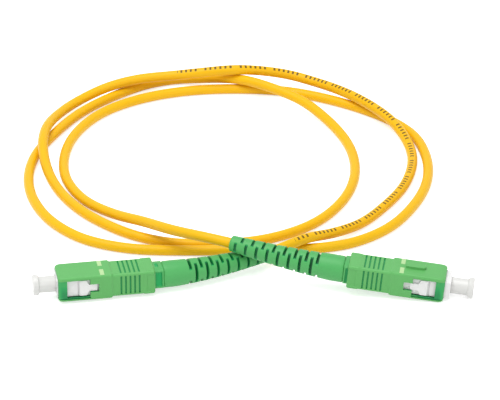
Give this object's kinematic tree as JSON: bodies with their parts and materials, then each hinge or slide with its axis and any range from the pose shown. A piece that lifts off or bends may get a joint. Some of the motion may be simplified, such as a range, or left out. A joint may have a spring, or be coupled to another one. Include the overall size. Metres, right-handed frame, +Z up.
{
  "type": "fiber optic patch cord",
  "caption": "Simplex fibre optic patch cord: a coiled yellow cable with a green push-pull angled-polish plug, bend-relief boot and dust cap at each end.",
  "frame": {"origin": "on the table, under the middle of the box round the two plugs with their boots and caps; the free cable isn't counted", "axes": "+Z up; +X from plug a to plug b; +Y from the plugs towards the coil"},
  "size_m": [0.1262, 0.1358, 0.0117],
  "materials": {
    "grip_plastic": "satin moulded, green",
    "frame_plastic": "natural white",
    "ferrule_ceramic": "polished zirconia",
    "glass_fibre": "polished",
    "flange_metal": "turned",
    "spring_steel": "drawn wire",
    "stop_metal": "turned",
    "buffer_plastic": "extruded",
    "aramid_yarn": "fibres",
    "crimp_metal": "crimped",
    "boot_rubber": "satin moulded, green",
    "cap_plastic": "translucent",
    "jacket_plastic": "smooth extruded, yellow"
  },
  "bodies": {
    "cord": {"plug_frame_a": "frame_plastic", "spring_a": "spring_steel", "stop_body_a": "stop_metal", "buffer_a": "buffer_plastic", "yarn_a": "aramid_yarn", "crimp_ring_a": "crimp_metal", "boot_a": "boot_rubber", "plug_frame_b": "frame_plastic", "spring_b": "spring_steel", "stop_body_b": "stop_metal", "buffer_b": "buffer_plastic", "yarn_b": "aramid_yarn", "crimp_ring_b": "crimp_metal", "boot_b": "boot_rubber", "cable": "jacket_plastic"},
    "grip_a": {"grip_a": "grip_plastic"},
    "ferrule_a": {"ferrule_a": "ferrule_ceramic", "fibre_a": "glass_fibre", "ferrule_flange_a": "flange_metal"},
    "cap_a": {"dust_cap_a": "cap_plastic"},
    "grip_b": {"grip_b": "grip_plastic"},
    "ferrule_b": {"ferrule_b": "ferrule_ceramic", "fibre_b": "glass_fibre", "ferrule_flange_b": "flange_metal"},
    "cap_b": {"dust_cap_b": "cap_plastic"}
  },
  "joints": [
    {"name": "grip_a_slide", "type": "slide", "parent": "cord", "child": "grip_a", "axis": [0.9848, 0.1736, 0], "range_m": [0, 0.002]},
    {"name": "grip_b_slide", "type": "slide", "parent": "cord", "child": "grip_b", "axis": [0.9877, -0.1213, -0.0985], "range_m": [-0.0007, 0.0013]},
    {"name": "ferrule_a_float", "type": "slide", "parent": "cord", "child": "ferrule_a", "axis": [0.9848, 0.1736, 0], "range_m": [0, 0.001], "stiffness_N_per_m": 2500, "springref_m": -0.003, "deforming": ["spring_a"]},
    {"name": "ferrule_b_float", "type": "slide", "parent": "cord", "child": "ferrule_b", "axis": [-0.9877, 0.1213, 0.0985], "range_m": [0, 0.001], "stiffness_N_per_m": 2500, "springref_m": -0.003, "deforming": ["spring_b"]},
    {"name": "cap_a_pull", "type": "slide", "parent": "ferrule_a", "child": "cap_a", "axis": [-0.9848, -0.1736, 0], "range_m": [0, 0.012]},
    {"name": "cap_b_pull", "type": "slide", "parent": "ferrule_b", "child": "cap_b", "axis": [0.9877, -0.1213, -0.0985], "range_m": [0, 0.012]}
  ]
}
